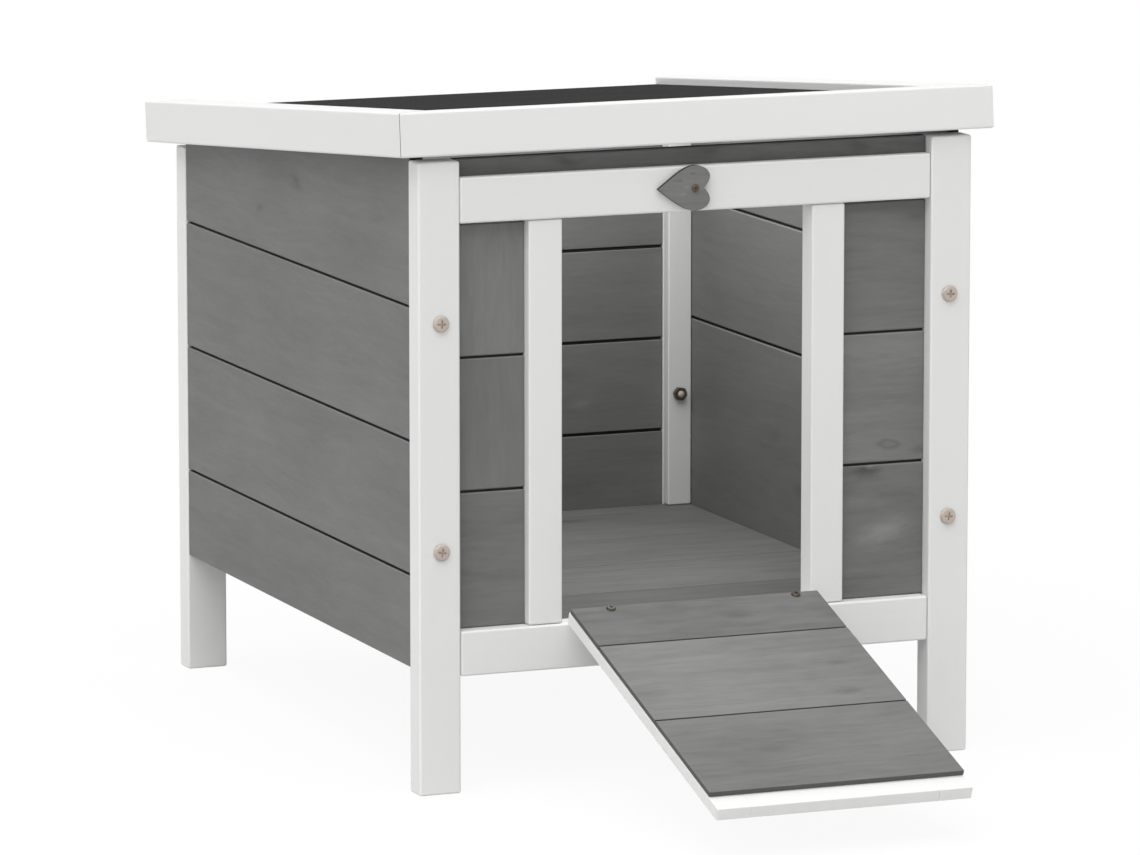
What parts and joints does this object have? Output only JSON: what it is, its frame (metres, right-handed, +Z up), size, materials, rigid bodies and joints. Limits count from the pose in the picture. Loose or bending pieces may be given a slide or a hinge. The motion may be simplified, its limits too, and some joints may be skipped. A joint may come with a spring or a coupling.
{
  "type": "rabbit hutch",
  "caption": "Small wooden rabbit hutch on posts, with a pitched felt roof that lifts on hinges, a hinged ramp at its doorway and a heart-shaped turn button above it.",
  "frame": {"origin": "on the ground, under the middle of the box that holds the whole object with its ramp lowered as in the picture", "axes": "+Z up; the doorway and the lowered ramp face -Y; the low end of the roof and its hinges face +Y; +X is to the right of someone who looks in at the doorway"},
  "size_m": [0.42, 0.7598, 0.4498],
  "materials": {
    "white_paint": "smooth satin white paint on planed timber, its edges slightly rounded",
    "grey_stain": "matt grey stain on softwood, with soft grain and a few knots",
    "roofing_felt": "matt near-black bitumen felt with fine streaks",
    "zinc_steel": "slightly dull warm grey plated steel",
    "brown_screw": "brown coated steel"
  },
  "bodies": {
    "hutch": {"front_left_post": "white_paint", "front_right_post": "white_paint", "back_left_post": "white_paint", "back_right_post": "white_paint", "front_top_rail": "white_paint", "sill_rail": "white_paint", "doorway_left_stile": "white_paint", "doorway_right_stile": "white_paint", "front_left_batten": "white_paint", "front_right_batten": "white_paint", "back_left_batten": "white_paint", "back_right_batten": "white_paint", "left_side_plank_1": "grey_stain", "left_side_plank_2": "grey_stain", "left_side_plank_3": "grey_stain", "left_side_plank_4": "grey_stain", "right_side_plank_1": "grey_stain", "right_side_plank_2": "grey_stain", "right_side_plank_3": "grey_stain", "front_left_plank_1": "grey_stain", "front_left_plank_2": "grey_stain", "front_left_plank_3": "grey_stain", "front_right_plank_1": "grey_stain", "front_right_plank_2": "grey_stain", "front_right_plank_3": "grey_stain", "front_top_plank": "grey_stain", "back_wall": "grey_stain", "floor_panel": "grey_stain", "front_left_lower_bolt": "zinc_steel", "front_left_upper_bolt": "zinc_steel", "front_right_lower_bolt": "zinc_steel", "front_right_upper_bolt": "zinc_steel", "back_left_lower_bolt": "zinc_steel", "back_left_upper_bolt": "zinc_steel", "back_right_lower_bolt": "zinc_steel", "back_right_upper_bolt": "zinc_steel", "ramp_left_hinge_fixed_leaf": "zinc_steel", "ramp_right_hinge_fixed_leaf": "zinc_steel", "roof_left_hinge_fixed_leaf": "zinc_steel", "roof_right_hinge_fixed_leaf": "zinc_steel", "heart_screw": "brown_screw"},
    "ramp": {"ramp_left_bar": "white_paint", "ramp_right_bar": "white_paint", "ramp_hinge_bar": "white_paint", "ramp_end_bar": "white_paint", "ramp_plank_1": "grey_stain", "ramp_plank_2": "grey_stain", "ramp_plank_3": "grey_stain", "ramp_left_hinge_moving_leaf": "zinc_steel", "ramp_right_hinge_moving_leaf": "zinc_steel"},
    "roof": {"roof_front_rail": "white_paint", "roof_left_rail": "white_paint", "roof_right_rail": "white_paint", "roof_back_rail": "white_paint", "roof_deck": "grey_stain", "roof_felt": "roofing_felt", "roof_left_hinge_moving_leaf": "zinc_steel", "roof_right_hinge_moving_leaf": "zinc_steel"},
    "latch": {"heart_latch": "grey_stain"}
  },
  "joints": [
    {"name": "ramp_hinge", "type": "hinge", "parent": "hutch", "child": "ramp", "pos_m": [-0.00655, -0.12729, 0.1064], "axis": [-1, 0, 0], "range_deg": [-6.2, 108.2]},
    {"name": "roof_hinge", "type": "hinge", "parent": "hutch", "child": "roof", "pos_m": [0, 0.35381, 0.37146], "axis": [-1, 0, 0], "range_deg": [0, 90]},
    {"name": "latch_turn", "type": "hinge", "parent": "hutch", "child": "latch", "pos_m": [-0.0042, -0.12669, 0.3913], "axis": [0, -1, 0], "continuous": true}
  ]
}
